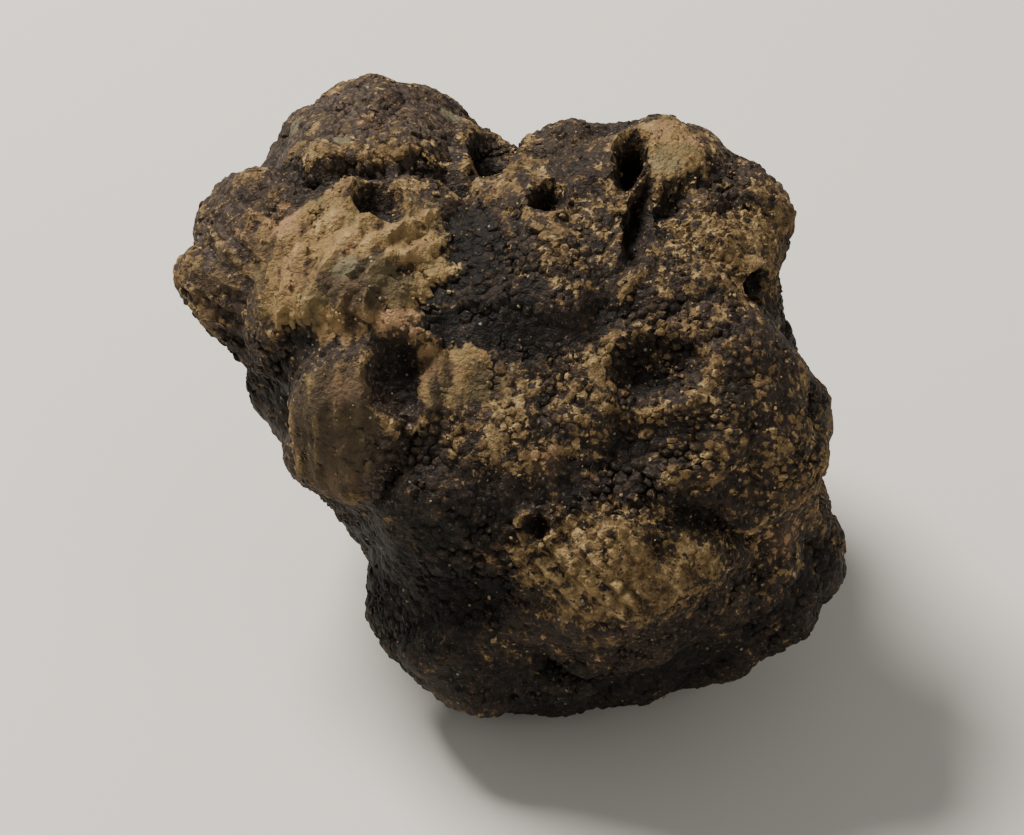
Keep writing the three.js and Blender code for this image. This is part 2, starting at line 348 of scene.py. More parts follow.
def knob_rise(points):
    """Height of the knobs: the highest of the domes rise (1 - (distance / width)^2)."""
    i = np.arange(KNOB_COUNT)
    stray = np.stack([chance(3 * i), chance(3 * i + 1), chance(3 * i + 2)], -1) - 0.5
    directions = unit(spiral_directions(KNOB_COUNT) + KNOB_STRAY * stray)
    sites = points_at(directions, lobe_reach(directions))
    rise = KNOB_RISE * (0.35 + 0.65 * chance(i + 700))
    width = KNOB_WIDTH * (0.8 + 0.4 * chance(i + 900))
    squared = (points**2).sum(1)[:, None] + (sites**2).sum(1)[None] - 2 * points @ sites.T
    return (rise * (1 - squared / width**2)).max(1) - KNOB_SUNK * KNOB_RISE


def pit_depth(points):
    """Depth of the pits: depth exp(-a^4), less a lip, where a is the distance from the pit's axis
    in half sizes. Also how much of each point lies in a narrow pit, and how much on a lip."""
    depth = np.zeros(len(points))
    inside = np.zeros(len(points))
    on_lip = np.zeros(len(points))
    for mouth, half, deep in PITS:
        axis = unit(np.array(mouth) - HEART)
        ahead = (points - HEART) @ axis
        away = np.linalg.norm((points - HEART - ahead[:, None] * axis) / np.array(half), axis=1)
        lip = (ahead > 0) * np.exp(-(((away - RIM_AT) / RIM_WIDTH) ** 2))
        hole = (ahead > 0) * np.exp(-(away**4))
        depth += deep * hole - RIM_RISE * lip
        inside = np.maximum(inside, hole * np.clip(WIDE_PIT - min(half), 0, 1))
        on_lip = np.maximum(on_lip, lip)
    return depth, inside, on_lip


def skin_share(directions):
    """Skin for each unit of solid angle: reach^2 / cosine of the slope."""
    reach = lobe_reach(directions)
    outward = unit(lobe_slope(points_at(directions, reach)))
    return reach**2 / np.maximum((outward * directions).sum(1), 0.15)


def waves(points, parts):
    """Sum of flat waves: size sin(steps . point + start)."""
    return sum(size * np.sin(points @ np.array(steps) + start) for size, steps, start in parts)


def fade(points, middle, half):
    """exp(-a^4), where a is the distance from the middle in half sizes."""
    away = np.linalg.norm((points - np.array(middle)) / np.array(half), axis=1)
    return np.exp(-(away**4))


def cover(points, patches):
    """How thick a coating is, 0 to 1: the thickest patch there, each fading as exp(-a^4)."""
    coats = [thick * fade(points, middle, half) for middle, half, thick, *_ in patches.values()]
    return np.max(coats, axis=0)


def dome_seam(points):
    """How much the seam at the foot of the crown dome runs there, and how much its lips do: bells
    over how much nearer the dome is than every other lobe, at a set lead and at each side of it."""
    bent = bend(points)
    gaps = np.stack([egg_gap(bent, centre, half) for centre, half in LOBES.values()])
    dome = list(LOBES).index("crown dome")
    lead = np.delete(gaps, dome, axis=0).min(0) - gaps[dome] - SEAM_LEAD
    lead += waves(points, SEAM_SWAY)
    here = fade(points, *SEAM_REGION)
    seam = here * np.exp(-((lead / SEAM_WIDTH) ** 2))
    lips = here * np.exp(-(((np.abs(lead) - SEAM_LIPS_AT) / SEAM_WIDTH) ** 2))
    return seam, lips


def fold_waves(points):
    """Height of the folds, and 0 in their furrows to 1 on their crests: 1 - |sin(pi t / apart + sway)|,
    where t is the distance across them, with a finer set half as high on top."""
    height = np.zeros(len(points))
    crest = np.full(len(points), FLAT_CREST)
    sway = waves(points, FOLD_SWAY)
    for middle, half, across, apart, rise in FOLDS.values():
        here = fade(points, middle, half)
        turn = math.pi * (points @ unit(np.array(across))) / apart
        wave = 1 - np.abs(np.sin(turn + sway))
        finer = 1 - np.abs(np.sin(FINER_FOLDS * turn - 1.6 * sway + 0.8))
        height += here * rise * (wave + 0.5 * finer - 0.54)
        crest = crest * (1 - here) + here * (0.65 * wave + 0.35 * finer)
    return height, crest


# ---- The net of warts ----


def net_of(directions):
    """The directions, and the corner numbers of the triangles between neighbours: the faces of
    their hull. A direction too close to others to be a corner of the hull is left out."""
    mesh = bpy.data.meshes.new("hull")
    mesh.from_pydata(100 * directions, [], [])
    hull = bmesh.new()
    hull.from_mesh(mesh)
    bmesh.ops.convex_hull(hull, input=hull.verts)
    bmesh.ops.triangulate(hull, faces=hull.faces)
    hull.to_mesh(mesh)
    hull.free()
    corners = np.zeros(len(mesh.loops), np.int32)
    mesh.loops.foreach_get("vertex_index", corners)
    bpy.data.meshes.remove(mesh)
    kept, renumbered = np.unique(corners, return_inverse=True)
    triangles = renumbered.reshape(-1, 3)
    directions = directions[kept]
    a, b, c = directions[triangles].transpose(1, 0, 2)
    inward = (np.cross(b - a, c - a) * a).sum(1) < 0
    triangles[inward] = triangles[inward][:, ::-1]
    return directions, triangles


def neighbour_mean(values, triangles):
    """Each row's mean over its neighbours in the net."""
    count = len(values)
    start = triangles.ravel()
    end = np.roll(triangles, -1, axis=1).ravel()
    total = np.stack([np.bincount(start, values[end, k], count) for k in range(values.shape[1])], -1)
    return total / np.bincount(start, minlength=count)[:, None]


def shaken(points, seed, stray):
    """Points each shifted by chance, up to so far each way."""
    i = 7 * np.arange(len(points)) + seed
    return points + 2 * stray * (np.stack([chance(i), chance(i + 2), chance(i + 4)], -1) - 0.5)


def settled_warts():
    """Where the warts stand, and the triangles between neighbours. They start down a close spiral,
    one each time that another share of skin has gone by, and shift again and again to the middle
    of their neighbours: first as directions, with new neighbours each time, then over the skin."""
    tries = spiral_directions(3 * WART_COUNT)
    passed = np.cumsum(skin_share(tries))
    marks = np.floor(passed * (WART_COUNT / passed[-1]))
    directions = tries[np.diff(marks, prepend=0) > 0]
    for _ in range(NET_ROUNDS):
        directions, triangles = net_of(directions)
        places = directions * lobe_reach(directions)[:, None]
        directions = unit(neighbour_mean(places, triangles))
    directions, triangles = net_of(directions)
    places = points_at(directions, lobe_reach(directions))
    for _ in range(SETTLING_ROUNDS):
        places = onto_lobes(neighbour_mean(places, triangles))
    return onto_lobes(shaken(places, 1, WART_STRAY)), triangles


def facing(points, faces):
    """Outward normal at each point: the sum of the crossed sides of the faces that meet there."""
    a, b, c = points[faces].transpose(1, 0, 2)
    crossed = np.cross(b - a, c - a)
    total = np.zeros_like(points)
    for corner in faces.T:
        total += np.stack([np.bincount(corner, crossed[:, k], len(points)) for k in range(3)], -1)
    return unit(total)


def fan_sides(triangles, count):
    """For each side of each triangle: its first corner, the triangle on its right, that one's own
    number for the corner, then the triangle on its left and its number for the corner."""
    start = triangles.ravel().astype(np.int64)
    end = np.roll(triangles, -1, axis=1).ravel().astype(np.int64)
    key = start * count + end
    order = np.argsort(key)
    twin = order[np.searchsorted(key[order], end * count + start)]
    side = np.arange(len(start))
    right = twin // 3
    right_corner = 3 * right + (twin % 3 + 1) % 3
    return start, right, right_corner, side // 3, side


def lumps_at(points):
    """Height of the small lumps, rise (shift - (distance / width)^2) from the nearest, and how much
    a crack runs there: exp(-(d / w)^2), where d is how much further the second nearest lump is, on
    the stretches of their borders that two slow waves pick."""
    i = np.arange(LUMP_COUNT)
    stray = np.stack([chance(5 * i + 1), chance(5 * i + 2), chance(5 * i + 3)], -1) - 0.5
    directions = unit(spiral_directions(LUMP_COUNT) + LUMP_STRAY * stray)
    first, second = nearest_two(points, points_at(directions, lobe_reach(directions)))
    runs = np.clip(0.3 + 0.5 * waves(points, CRACK_RUN), 0, 1)
    crack = np.exp(-(((second - first) / CRACK_WIDTH) ** 2)) * runs
    return LUMP_RISE * (LUMP_SHIFT - (first / LUMP_WIDTH) ** 2), crack


def relief(on_lobes):
    """How far the skin rises from the joined lobes: knobs + lumps + folds - pits - seam, with lips
    round the pits and the seam. Also how much of each thing that colours or shapes it lies there."""
    depth, in_pit, on_lip = pit_depth(on_lobes)
    lump, crack = lumps_at(on_lobes)
    seam, seam_lips = dome_seam(on_lobes)
    fold_height, crest = fold_waves(on_lobes)
    clay = cover(on_lobes, CLAY) * (1 - in_pit)
    # How much of the skin is kept near black, with less earth and grey: mostly painted shade.
    bare_and_shaded_skin = cover(on_lobes, BARE_AND_SHADED)
    earth = np.maximum(cover(on_lobes, EARTH), 0.7 * on_lip + 0.7 * seam_lips) * (1 - seam)
    net = sum(side * fade(on_lobes, middle, half) for middle, half, _, side in EARTH.values())
    rise = knob_rise(on_lobes) - depth + lump * (1 - 0.7 * clay) + fold_height * (1 - in_pit)
    rise += 0.35 * seam_lips + 0.2 * on_lip - SEAM_DEPTH * seam
    marks = {
        "earth": earth - 0.5 * bare_and_shaded_skin * (1 - earth),
        "clay": clay,
        "net": np.clip(net, -1, 1),
        "crest": crest,
        "grey": cover(on_lobes, GREY) - bare_and_shaded_skin,
        "reddish": cover(on_lobes, REDDISH),
        "green_stain_and_glint": cover(on_lobes, GREEN_STAINS_AND_GLINTS),
        "pit": np.maximum(in_pit, seam),
    }
    return rise, marks, crack, in_pit


def hollow_at(base, normal, triangles, wart_count):
    """How far each tip and valley lies below the skin smoothed over about 8 mm: hollows are above 0."""
    smooth = base[:wart_count]
    for _ in range(HOLLOW_ROUNDS):
        smooth = neighbour_mean(smooth, triangles)
    at_warts = ((smooth - base[:wart_count]) * normal[:wart_count]).sum(1)
    return np.concatenate([at_warts, at_warts[triangles].mean(1)])


def wart_points(base, normal, triangles, wart_count, crack, height):
    """Tips, shoulder rings and valleys. A tip stands up by its wart's own rise, a ring point lies
    about half way out to a valley and stands up by a share of that, and a valley sinks in, more so
    in a crack. Height says how much of all this is left at each place."""
    w = np.arange(wart_count)
    tip_rise = WART_RISE * (0.1 + chance(w + 0.5) ** 1.5) * height[:wart_count]
    valley_sink = (WART_SINK + CRACK_DEPTH * crack[wart_count:]) * height[wart_count:]
    ring_wart = triangles.ravel()
    ring_valley = wart_count + np.repeat(np.arange(len(triangles)), 3)
    r = np.arange(len(ring_wart))
    out = (0.42 + 0.2 * chance(ring_wart + 0.25) + 0.2 * (chance(r + 0.75) - 0.5))[:, None]
    ring_base = base[ring_wart] * (1 - out) + base[ring_valley] * out
    ring_normal = unit(normal[ring_wart] + normal[ring_valley])
    ring_rise = tip_rise[ring_wart] * (0.3 + 0.8 * chance(r + 0.33))
    tips = base[:wart_count] + normal[:wart_count] * tip_rise[:, None]
    rings = ring_base + ring_normal * ring_rise[:, None]
    valleys = base[wart_count:] - normal[wart_count:] * valley_sink[:, None]
    points = shaken(np.concatenate([tips, rings, valleys]), 3, CORNER_STRAY)
    points[:, 2] = np.maximum(points[:, 2], 0)
    return points


def skin_surface():
    """The skin as points, faces and what colours it. Each wart is a tip, a shoulder ring about
    half way out, and the net of valleys that it shares with its neighbours. A point is lobes +
    relief + wart, each along the normal of what is under it."""
    places, triangles = settled_warts()
    wart_count = len(places)
    on_lobes = np.concatenate([places, onto_lobes(places[triangles].mean(1))])
    start, right, right_corner, left, left_corner = fan_sides(triangles, wart_count)
    fans = np.stack([start, wart_count + right, wart_count + left], -1)

    rise, marks, crack, in_pit = relief(on_lobes)
    base = on_lobes + facing(on_lobes, fans) * rise[:, None]
    normal = facing(base, fans)
    hollow = hollow_at(base, normal, triangles, wart_count)
    height = (1 - 0.7 * marks["clay"]) * (1 - 0.6 * in_pit) * (1 - 0.4 * np.clip(hollow / 1.2, 0, 1))
    height *= 0.8 + 0.15 * waves(on_lobes, WEAR)
    points = wart_points(base, normal, triangles, wart_count, crack, height)

    ring_wart = triangles.ravel()
    first_ring = wart_count
    first_valley = wart_count + len(ring_wart)
    ring_right, ring_left = first_ring + right_corner, first_ring + left_corner
    tops = np.stack([start, ring_right, ring_left], -1)
    skirts = np.stack([ring_right, first_valley + right, first_valley + left, ring_left], -1)

    tone = chance(np.arange(wart_count) + 0.11)
    marks["tone"] = np.concatenate([tone, tone[triangles].mean(1)])
    marks["hollow"] = hollow
    for name, values in marks.items():
        marks[name] = np.concatenate([values[:wart_count], values[ring_wart], values[wart_count:]])
    marks["wart"] = np.repeat([1.0, 0.85, 0.0], [wart_count, len(ring_wart), len(triangles)])
    marks["crack"] = np.concatenate([np.zeros(first_valley), crack[wart_count:]])
    return points, tops, skirts, marks


# ---- Meshes ----


def make_piece(name, points_mm, faces, marks):
    """A mesh object in metres from points, lists of faces and one number a point for each mark."""
    mesh = bpy.data.meshes.new(name)
    loops = np.concatenate([f.ravel() for f in faces]).astype(np.int32)
    sizes = np.concatenate([np.full(len(f), f.shape[1]) for f in faces]).astype(np.int32)
    mesh.vertices.add(len(points_mm))
    mesh.vertices.foreach_set("co", (points_mm * MM).astype(np.float32).ravel())
    mesh.loops.add(len(loops))
    mesh.loops.foreach_set("vertex_index", loops)
    mesh.polygons.add(len(sizes))
    starts = np.concatenate([[0], np.cumsum(sizes)[:-1]]).astype(np.int32)
    mesh.polygons.foreach_set("loop_start", starts)
    mesh.update(calc_edges=True)
    mesh.validate()
    for key, values in marks.items():
        layer = mesh.attributes.new(key, "FLOAT", "POINT")
        layer.data.foreach_set("value", values.astype(np.float32))
    mesh.shade_smooth()
    mesh.set_sharp_from_angle(angle=SHARP_FROM)
    piece = bpy.data.objects.new(name, mesh)
    bpy.context.scene.collection.objects.link(piece)
    return piece


def fine_skin():
    """The truffle's own skin, moved over the ground until its middle is where the solid's is."""
    points, tops, skirts, marks = skin_surface()
    low, high = (np.array(corner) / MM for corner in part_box("truffle"))
    middle = (points.min(0) + points.max(0)) / 2
    squeeze = np.minimum(1, (high - low - ROOM) / (points.max(0) - points.min(0)))
    points[:, :2] = (points[:, :2] - middle[:2]) * squeeze[:2] + (low + high)[:2] / 2
    points[:, 2] *= squeeze[2]
    return make_piece("truffle_skin", points, [tops, skirts], marks), points, marks


def crumb_shape():
    """Corners and faces of a twenty-sided lump of half size 1: golden rectangles, and their hull."""
    g = (1 + math.sqrt(5)) / 2
    pairs = [(a, b) for a in (-1, 1) for b in (-g, g)]
    corners = [(0, a, b) for a, b in pairs]
    corners += [(a, b, 0) for a, b in pairs]
    corners += [(b, 0, a) for a, b in pairs]
    return net_of(unit(np.array(corners, float)))


def turns(draw, count):
    """Random rotations as matrices, from four even numbers each taken as a unit quaternion."""
    w, x, y, z = unit(draw.normal(size=(count, 4))).T
    rows = [
        [1 - 2 * (y * y + z * z), 2 * (x * y - z * w), 2 * (x * z + y * w)],
        [2 * (x * y + z * w), 1 - 2 * (x * x + z * z), 2 * (y * z - x * w)],
        [2 * (x * z - y * w), 2 * (y * z + x * w), 1 - 2 * (x * x + y * y)],
    ]
    return np.array(rows).transpose(2, 0, 1)


def earth_crumbs(skin_points, marks):
    """Loose crumbs of earth, sunk by a third in the skin: each is the lump with its corners shifted
    at random, stretched, turned and put on a point of the skin, more often where the earth is
    thick and between the warts."""
    draw = np.random.default_rng(7)
    corners, faces = crumb_shape()
    low, high = (np.array(corner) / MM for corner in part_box("truffle"))
    fits = ((skin_points > low + CRUMB_ROOM) & (skin_points < high - CRUMB_ROOM)).all(1)
    earthy = 0.03 + np.maximum(marks["earth"], 0) + 0.5 * np.clip(marks["hollow"], 0, 1)
    chances = fits * earthy * (1.4 - marks["wart"])
    spots = draw.choice(len(skin_points), CRUMB_COUNT, replace=False, p=chances / chances.sum())
    size = CRUMB_SIZE * np.exp(0.5 * draw.normal(size=CRUMB_COUNT)).clip(0.5, 3.2)
    stretch = draw.uniform(0.6, 1.25, (CRUMB_COUNT, 1, 3))
    rough = corners * draw.uniform(0.75, 1.2, (CRUMB_COUNT, len(corners), 1)) * stretch
    turned = np.einsum("nij,nkj->nki", turns(draw, CRUMB_COUNT), rough) * size[:, None, None]
    outward = unit(skin_points[spots] - skin_points.mean(0))
    placed = turned + (skin_points[spots] + outward * size[:, None] / 3)[:, None]
    every_face = faces[None] + len(corners) * np.arange(CRUMB_COUNT)[:, None, None]
    tone = np.repeat(draw.uniform(size=CRUMB_COUNT), len(corners))
    return make_piece("earth_crumbs", placed.reshape(-1, 3), [every_face.reshape(-1, 3)], {"tone": tone})


# ---- Shader helpers ----


MIX_PLACES = (0, 6, 7)          # a mix node's share, first colour and second colour
MIX_COLOUR = 2                  # its colour among its outputs


def add_node(tree, kind, inputs=None, **settings):
    """A shader node with its settings, and its inputs linked to sockets or set to values."""
    node = tree.nodes.new(kind)
    for name, value in settings.items():
        setattr(node, name, value)
    for name, value in (inputs or {}).items():
        if isinstance(value, bpy.types.NodeSocket):
            tree.links.new(value, node.inputs[name])
        else:
            node.inputs[name].default_value = value
    return node


def do_math(tree, operation, *values):
    """The outcome of one math node."""
    node = add_node(tree, "ShaderNodeMath", dict(enumerate(values)), operation=operation)
    return node.outputs[0]


def weigh(tree, *pairs):
    """Sum of values, each times its weight."""
    total = 0.0
    for value, weight in pairs:
        total = do_math(tree, "MULTIPLY_ADD", value, weight, total)
    return total


def step_up(tree, value, low, high):
    """0 below low, 1 above high, and a smooth rise between."""
    inputs = {"Value": value, "From Min": low, "From Max": high}
    node = add_node(tree, "ShaderNodeMapRange", inputs, interpolation_type="SMOOTHSTEP")
    return node.outputs["Result"]


def blend_colours(tree, share, first, second):
    """The first colour, with a share of the second."""
    node = add_node(tree, "ShaderNodeMix", data_type="RGBA")
    for place, value in zip(MIX_PLACES, (share, first, second)):
        if isinstance(value, bpy.types.NodeSocket):
            tree.links.new(value, node.inputs[place])
        else:
            node.inputs[place].default_value = value if value is share else (*value, 1)
    return node.outputs[MIX_COLOUR]


def mottle(tree, coordinates, size_mm, detail=3.0, roughness=0.55):
    """Cloudy noise whose blotches are about size_mm across."""
    scale = 1 / (size_mm * MM)
    inputs = {"Vector": coordinates, "Scale": scale, "Detail": detail, "Roughness": roughness}
    return add_node(tree, "ShaderNodeTexNoise", inputs).outputs["Fac"]


def along_folds(tree, place):
    """Coordinates drawn out along the folds of the front, so that a mottle becomes streaks."""
    inputs = {"Vector": place, "Rotation": STREAK_TURN, "Scale": STREAK_SCALE}
    return add_node(tree, "ShaderNodeMapping", inputs).outputs["Vector"]


def mark(tree, name):
    """One of the numbers that the mesh carries at each point."""
    return add_node(tree, "ShaderNodeAttribute", attribute_name=name).outputs["Fac"]


def new_group(name, inputs, outputs):
    """An empty node group with named inputs, given with their starting values, and outputs."""
    group = bpy.data.node_groups.new(name, "ShaderNodeTree")
    for label, start in inputs.items():
        socket = group.interface.new_socket(label, in_out="INPUT", socket_type="NodeSocketFloat")
        socket.default_value = start
    for label, kind in outputs.items():
        group.interface.new_socket(label, in_out="OUTPUT", socket_type=kind)
    return group, group.nodes.new("NodeGroupInput"), group.nodes.new("NodeGroupOutput")


def grain_group():
    """Fine grain of the dry surface: three sizes of mottle, as one value and one height."""
    group, given, result = new_group(
        "Fine grain", {"Coarse mm": 0.5}, {"Value": "NodeSocketFloat", "Height": "NodeSocketFloat"}
    )
    place = group.nodes.new("ShaderNodeTexCoord").outputs["Object"]
    coarse_scale = do_math(group, "DIVIDE", 1 / MM, given.outputs["Coarse mm"])
    layers = []
    for finer in (1.0, 2.7, 7.5):
        scale = do_math(group, "MULTIPLY", coarse_scale, finer)
        inputs = {"Vector": place, "Scale": scale, "Detail": 1.0, "Roughness": 0.6}
        layers.append(add_node(group, "ShaderNodeTexNoise", inputs).outputs["Fac"])
    value = weigh(group, (layers[0], 0.4), (layers[1], 0.35), (layers[2], 0.25))
    height = weigh(group, (layers[0], 0.55), (layers[1], 0.3), (layers[2], 0.15))
    group.links.new(value, result.inputs["Value"])
    group.links.new(height, result.inputs["Height"])
    return group


def earth_group():
    """Dry earth: its tan, from dark to pale by the grain and by a tone, and its crumbly height."""
    group, given, result = new_group(
        "Dry earth",
        {"Tone": 0.5, "Grain": 0.5},
        {"Color": "NodeSocketColor", "Height": "NodeSocketFloat"},
    )
    place = group.nodes.new("ShaderNodeTexCoord").outputs["Object"]
    drift = mottle(group, place, 5.0)
    fleck = mottle(group, place, 0.9)
    grain, tone = given.outputs["Grain"], given.outputs["Tone"]
    amount = weigh(group, (grain, 1.3), (tone, 0.3), (drift, 0.5), (fleck, 1.5))
    dark_to_mid = blend_colours(group, step_up(group, amount, *EARTH_MID_FROM), EARTH_DARK, EARTH_MID)
    colour = blend_colours(group, step_up(group, amount, *EARTH_PALE_FROM), dark_to_mid, EARTH_PALE)
    crumbs = add_node(
        group, "ShaderNodeTexVoronoi", {"Vector": place, "Scale": 1 / (0.42 * MM)}
    ).outputs["Distance"]
    height = weigh(group, (crumbs, -0.8), (grain, 0.6))
    group.links.new(colour, result.inputs["Color"])
    group.links.new(height, result.inputs["Height"])
    return group


# ---- Finishes ----

# Linear colours.
SKIN_BLACK = (0.0062, 0.0050, 0.0040)
SKIN_BROWN = (0.0285, 0.0187, 0.0136)
# Worn purple grey, and also a painted highlight on the bare warts' tops.
SKIN_WORN_AND_HIGHLIGHT = (0.056, 0.0398, 0.0325)
SKIN_PEPPER = (0.125, 0.093, 0.056)
EARTH_DARK = (0.066, 0.042, 0.021)
EARTH_MID = (0.160, 0.105, 0.048)
EARTH_PALE = (0.385, 0.275, 0.134)
CLAY_BROWN = (0.062, 0.042, 0.024)
CLAY_TAN = (0.236, 0.155, 0.067)
CLAY_PALE = (0.425, 0.308, 0.142)
CLAY_ROSE = (0.210, 0.122, 0.068)
CLAY_OLIVE = (0.150, 0.118, 0.055)
CLAY_DULL = (0.090, 0.068, 0.042)
STAIN_RED = (0.280, 0.162, 0.088)
# Grey-green of stains, and of the painted glints at the low front.
GREEN_STAIN_AND_GLINT = (0.150, 0.140, 0.085)
GRIT_PALE = (0.42, 0.37, 0.30)

# Where each colour begins and where it is full, in the sums of marks and mottles that weigh it.
EARTH_MID_FROM = (1.4, 1.75)
EARTH_PALE_FROM = (1.75, 2.15)
SKIN_BROWN_FROM = (0.95, 1.35)
SKIN_WORN_AND_HIGHLIGHT_FROM = (1.55, 1.85)
PEPPER_FROM = (0.62, 0.7)
FILM_FROM = (2.45, 2.82)
DUST_FROM = (2.76, 2.9)
CLAY_FROM = (1.35, 1.55)
CLAY_BROWN_FROM = (0.4, 0.6)
CLAY_TAN_FROM = (1.4, 1.75)
CLAY_PALE_FROM = (1.75, 2.35)
CLAY_ROSE_FROM = (0.52, 0.66)
CLAY_OLIVE_FROM = (0.46, 0.34)
STAIN_RED_FROM = (0.75, 1.15)
GREEN_STAIN_AND_GLINT_FROM = (0.75, 1.2)
GRIT_FROM = (0.26, 0.16)

# How strong each is where it is full.
PEPPER_SHARE = 0.6
FILM_SHARE = 0.42
CLAY_ROSE_SHARE = 0.55
CLAY_OLIVE_SHARE = 0.6
CLAY_DULL_SHARE = 0.5
GREEN_STAIN_AND_GLINT_SHARE = 0.6
GRIT_SHARE = 0.45

STREAK_TURN = (0, 0, math.radians(-148))
STREAK_SCALE = (1, 0.2, 0.45)   # the smaller, the longer that way
GRIT_APART = 0.75               # mm between the middles of its cells
GRIT_CHANCE = 0.04              # share of the cells that hold a grain
SKIN_BUMP_M = 0.00028
CRUMB_BUMP_M = 0.00006


def place_group(tree, group, **inputs):
    """A group's outputs, placed in a tree with its inputs linked or set; _ in a name is a space."""
    named = {name.replace("_", " "): value for name, value in inputs.items()}
    return add_node(tree, "ShaderNodeGroup", named, node_tree=group).outputs


def new_material(name):
    """A material with its node tree and its shader."""
    material = bpy.data.materials.new(name)
    material.use_nodes = True
    tree = material.node_tree
    return material, tree, tree.nodes["Principled BSDF"]


def skin_mottles(tree, place):
    """The mottles that the coats of the skin share, from broad blotches down to fine specks."""
    return {
        "broad": mottle(tree, place, 9.0, detail=1.0),
        "blotch": mottle(tree, place, 3.0, detail=3.0, roughness=0.6),
        "middle": mottle(tree, place, 2.2, detail=2.0),
        "flecks": mottle(tree, place, 1.2, detail=3.0, roughness=0.65),
        "worn": mottle(tree, place, 1.1, detail=2.0),
        "speckle": mottle(tree, place, 0.7, detail=3.0, roughness=0.7),
        "specks": mottle(tree, place, 0.42, detail=1.0, roughness=0.6),
        "hue": mottle(tree, place, 4.5, detail=2.0),
        "streaks": mottle(tree, along_folds(tree, place), 1.3, detail=3.0, roughness=0.6),
    }


def stronger(tree, value, limits, share):
    """A value stepped up between two limits, times a share."""
    return do_math(tree, "MULTIPLY", step_up(tree, value, *limits), share)


def bare_skin(tree, on, cloud):
    """Near-black skin, speckled brown, a worn purple grey and pepper. The grey on the warts' tops is
    partly wear and partly a painted highlight, and the hollows get less brown and pepper as painted
    shade.
    """
    # The hollow mark takes brown and pepper away from the hollows to darken them: painted shade.
    wear = weigh(
        tree, (on["tone"], 0.12), (cloud["speckle"], 1.6), (cloud["middle"], 0.6),
        (on["hollow"], -0.15), (on["grey"], 0.25),
    )
    colour = blend_colours(tree, step_up(tree, wear, *SKIN_BROWN_FROM), SKIN_BLACK, SKIN_BROWN)
    # The warts' tops are greyed more than their valleys: partly wear, partly a painted highlight.
    greyed = weigh(
        tree, (cloud["worn"], 1.2), (cloud["fine"], 0.8), (cloud["broad"], 0.4),
        (on["grey"], 0.4), (on["wart"], 0.3),
    )
    colour = blend_colours(tree, step_up(tree, greyed, *SKIN_WORN_AND_HIGHLIGHT_FROM), colour, SKIN_WORN_AND_HIGHLIGHT)
    pepper = weigh(tree, (cloud["specks"], 1.0), (on["grey"], 0.08), (on["hollow"], -0.04))
    return blend_colours(tree, stronger(tree, pepper, PEPPER_FROM, PEPPER_SHARE), colour, SKIN_PEPPER)


def dry_earth(tree, bare_and_shaded_skin, on, cloud, earth):
    """Specks and patches of earth, on the warts' tops or in the net between them, with a thin film
    round them: the colour with them on bare skin, their share, and their height."""
    on_top = do_math(tree, "MULTIPLY", do_math(tree, "SUBTRACT", on["wart"], 0.5), on["net"])
    # Earth is kept out of the hollows, the pits, the seam and the cracks so that they stay near black:
    # partly where earth lies, partly painted shade.
    dusted = weigh(
        tree, (on["earth"], 0.6), (cloud["flecks"], 1.9), (cloud["specks"], 0.9), (cloud["middle"], 1.2),
        (cloud["broad"], 0.5), (on_top, 0.3), (on["tone"], 0.1), (on["hollow"], -0.2), (on["pit"], -0.9),
        (on["crack"], -0.4), (on["crest"], 0.3),
    )
    filmed = blend_colours(tree, stronger(tree, dusted, FILM_FROM, FILM_SHARE), bare_and_shaded_skin, EARTH_DARK)
    share = step_up(tree, dusted, *DUST_FROM)
    soil = place_group(tree, earth, Tone=on["crest"], Grain=cloud["fine"])
    return blend_colours(tree, share, filmed, soil["Color"]), share, soil["Height"]


def clay_coat(tree, under, on, cloud):
    """Clay, brown in its furrows and pale on the crests of its folds, rosy or olive in blotches, and
    duller and less streaked on the grey lobes: the colour with it on what is under it, and its share."""
    # Clay is thinner in the cracks and the hollows, which keeps them darker: partly painted shade.
    covered = weigh(
        tree, (on["clay"], 1.0), (cloud["blotch"], 0.9), (on["crest"], 0.3), (cloud["flecks"], 0.5),
        (on["crack"], -0.5), (on["hollow"], -0.15),
    )
    streaks = do_math(tree, "MULTIPLY", cloud["streaks"], weigh(tree, (on["grey"], -0.8), (1.5, 1.0)))
    tone = weigh(
        tree, (cloud["blotch"], 0.7), (streaks, 1.0), (cloud["flecks"], 0.4), (cloud["fine"], 0.5),
        (on["crest"], 0.6), (on["grey"], -0.15),
    )
    speckled = step_up(tree, cloud["speckle"], *CLAY_BROWN_FROM)
    colour = blend_colours(tree, speckled, SKIN_BROWN, CLAY_BROWN)
    colour = blend_colours(tree, step_up(tree, tone, *CLAY_TAN_FROM), colour, CLAY_TAN)
    colour = blend_colours(tree, step_up(tree, tone, *CLAY_PALE_FROM), colour, CLAY_PALE)
    rosy = stronger(tree, cloud["hue"], CLAY_ROSE_FROM, CLAY_ROSE_SHARE)
    colour = blend_colours(tree, rosy, colour, CLAY_ROSE)
    olive = stronger(tree, cloud["hue"], CLAY_OLIVE_FROM, CLAY_OLIVE_SHARE)
    colour = blend_colours(tree, olive, colour, CLAY_OLIVE)
    dull = do_math(tree, "MULTIPLY", on["grey"], CLAY_DULL_SHARE)
    colour = blend_colours(tree, dull, colour, CLAY_DULL)
    share = step_up(tree, covered, *CLAY_FROM)
    return blend_colours(tree, share, under, colour), share


